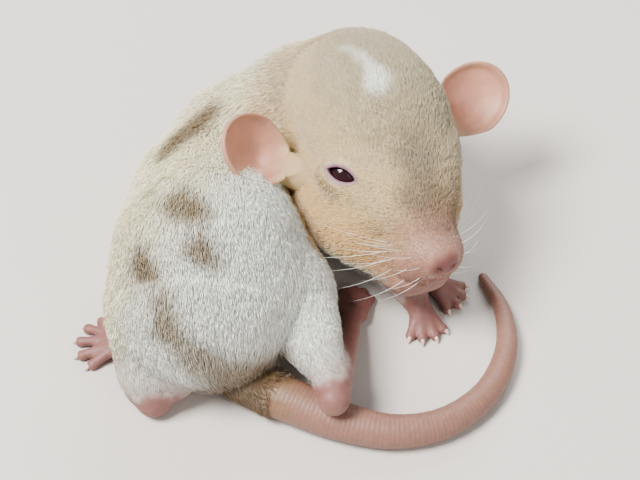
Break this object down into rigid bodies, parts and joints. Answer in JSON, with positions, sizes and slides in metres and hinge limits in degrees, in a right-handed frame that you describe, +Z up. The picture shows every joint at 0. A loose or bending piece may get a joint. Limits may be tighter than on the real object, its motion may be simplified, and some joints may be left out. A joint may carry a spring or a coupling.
{
  "type": "young dumbo rat",
  "caption": "young large-eared pet rat lying curled in a C with its head up, white body with taupe spots and a beige hood, long tail laid round in front",
  "frame": {"origin": "centre of the bottom of the bounding box, on the floor", "axes": "+Z up. +Y from the rump towards the shoulders. +X towards the inside of the curl, where the head is; the nose points to -Y."},
  "size_m": [0.055, 0.0526, 0.0293],
  "materials": {
    "white_fur": "short soft white fur with taupe spots",
    "beige_fur": "short soft beige fur of the hood",
    "bare_skin": "thin pink skin with sparse fine hair",
    "eye": "wet dark eye"
  },
  "bodies": {
    "root": {"hind_leg_right": "white_fur", "hind_leg_left": "white_fur", "foreleg_right": "white_fur", "foreleg_left": "white_fur", "hind_foot_right": "bare_skin", "hind_foot_left": "bare_skin", "forepaw_right": "bare_skin", "forepaw_left": "bare_skin", "tail_1": "bare_skin", "tail_2": "bare_skin", "tail_3": "bare_skin", "neck": "beige_fur", "chest": "white_fur", "hindquarters": "white_fur", "head": "beige_fur", "ear_right": "bare_skin", "eye_right": "eye", "ear_left": "bare_skin", "eye_left": "eye"}
  },
  "joints": []
}
